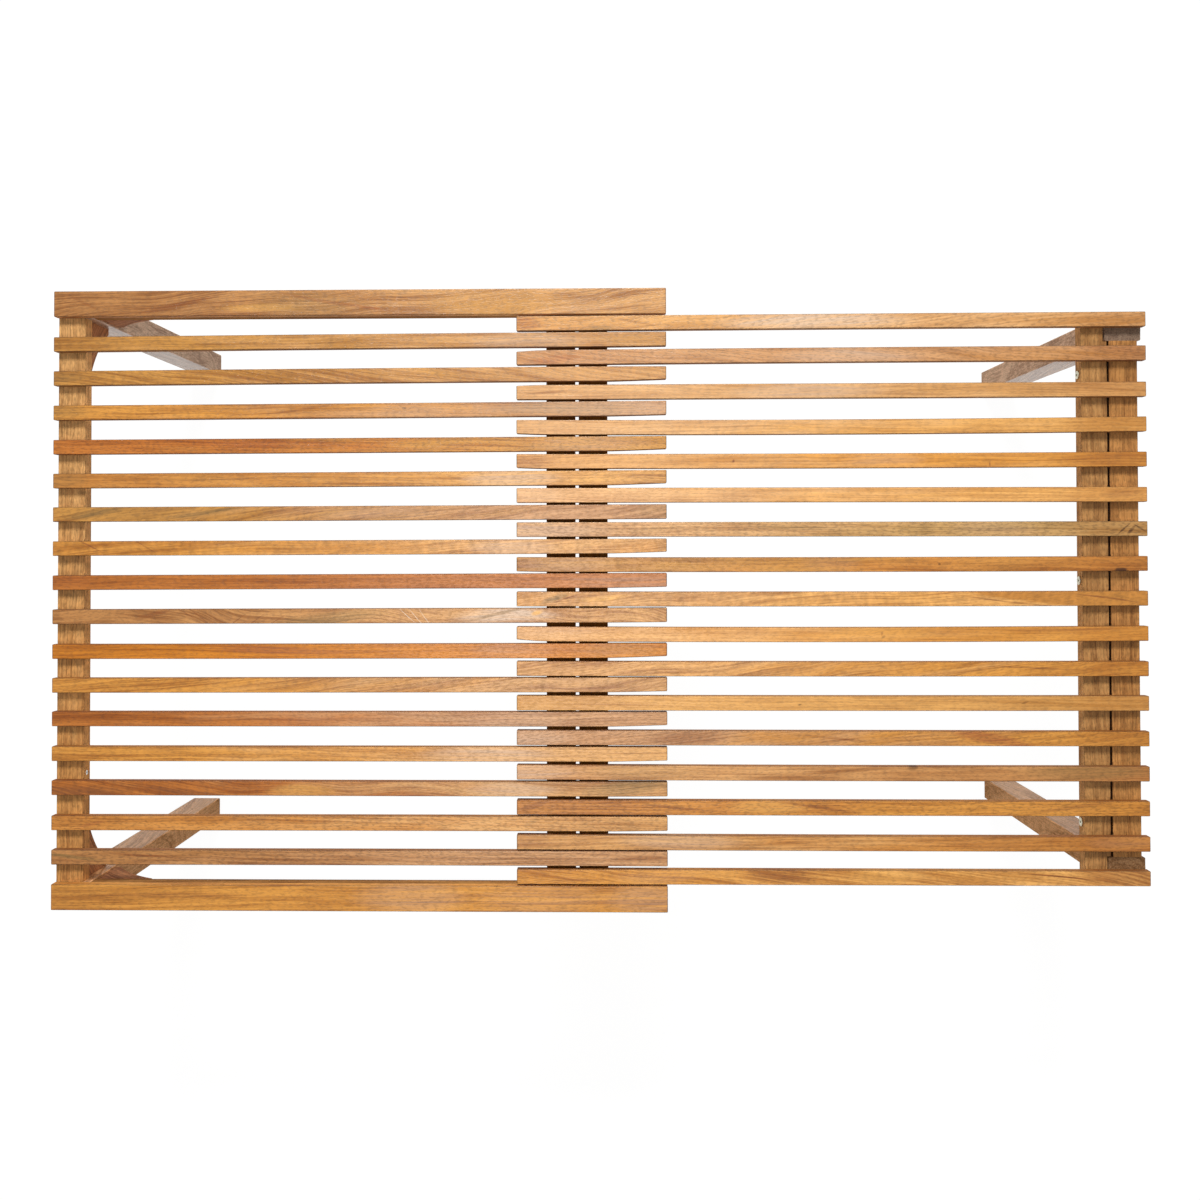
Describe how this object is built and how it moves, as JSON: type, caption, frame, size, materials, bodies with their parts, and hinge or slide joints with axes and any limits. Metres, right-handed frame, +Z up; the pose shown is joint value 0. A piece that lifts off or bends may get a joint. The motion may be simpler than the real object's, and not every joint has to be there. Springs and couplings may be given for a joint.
{
  "type": "extending dining table",
  "caption": "Slatted wooden garden dining table that extends: a sliding half with its own legs pulls out of a fixed half, slat between slat.",
  "frame": {"origin": "on the floor, under the middle of the drawn-out table as pictured", "axes": "+X along the length towards the sliding half, +Y across towards the back edge, +Z up"},
  "size_m": [1.778, 1.012, 0.74],
  "materials": {
    "fixed_slat_wood": "oiled",
    "sliding_slat_wood": "oiled",
    "board_wood": "oiled",
    "rail_wood": "oiled",
    "leg_wood": "oiled",
    "brace_wood": "oiled",
    "screw_steel": "zinc plated",
    "bolt_steel": "yellow zinc plated",
    "insert_brass": "turned"
  },
  "bodies": {
    "fixed_half": {"fixed_slat_01": "fixed_slat_wood", "fixed_slat_02": "fixed_slat_wood", "fixed_slat_03": "fixed_slat_wood", "fixed_slat_04": "fixed_slat_wood", "fixed_slat_05": "fixed_slat_wood", "fixed_slat_06": "fixed_slat_wood", "fixed_slat_07": "fixed_slat_wood", "fixed_slat_08": "fixed_slat_wood", "fixed_slat_09": "fixed_slat_wood", "fixed_slat_10": "fixed_slat_wood", "fixed_slat_11": "fixed_slat_wood", "fixed_slat_12": "fixed_slat_wood", "fixed_slat_13": "fixed_slat_wood", "fixed_slat_14": "fixed_slat_wood", "fixed_slat_15": "fixed_slat_wood", "fixed_slat_16": "fixed_slat_wood", "edge_board_front": "board_wood", "edge_board_back": "board_wood", "side_rail_front": "rail_wood", "side_rail_back": "rail_wood", "end_rail_left": "rail_wood", "middle_rail": "rail_wood", "leg_left_front": "leg_wood", "leg_left_back": "leg_wood", "end_brace_left_front": "brace_wood", "end_brace_left_back": "brace_wood", "side_brace_left_front": "brace_wood", "side_brace_left_back": "brace_wood", "fixed_top_screws": "screw_steel", "fixed_brace_screws": "screw_steel", "end_rail_screw": "screw_steel"},
    "sliding_half": {"sliding_slat_01": "sliding_slat_wood", "sliding_slat_02": "sliding_slat_wood", "sliding_slat_03": "sliding_slat_wood", "sliding_slat_04": "sliding_slat_wood", "sliding_slat_05": "sliding_slat_wood", "sliding_slat_06": "sliding_slat_wood", "sliding_slat_07": "sliding_slat_wood", "sliding_slat_08": "sliding_slat_wood", "sliding_slat_09": "sliding_slat_wood", "sliding_slat_10": "sliding_slat_wood", "sliding_slat_11": "sliding_slat_wood", "sliding_slat_12": "sliding_slat_wood", "sliding_slat_13": "sliding_slat_wood", "sliding_slat_14": "sliding_slat_wood", "sliding_slat_15": "sliding_slat_wood", "sliding_slat_16": "sliding_slat_wood", "sliding_slat_17": "sliding_slat_wood", "stop_rail": "rail_wood", "inner_rail_right": "rail_wood", "end_rail_right": "rail_wood", "leg_right_front": "leg_wood", "leg_right_back": "leg_wood", "end_brace_right_front": "brace_wood", "end_brace_right_back": "brace_wood", "sliding_top_screws": "screw_steel", "sliding_brace_screws": "screw_steel", "frame_bolts": "bolt_steel", "insert_nuts": "insert_brass"}
  },
  "joints": [
    {"name": "top_slide", "type": "slide", "parent": "fixed_half", "child": "sliding_half", "axis": [1, 0, 0], "range_m": [-0.761, 0.005]}
  ]
}
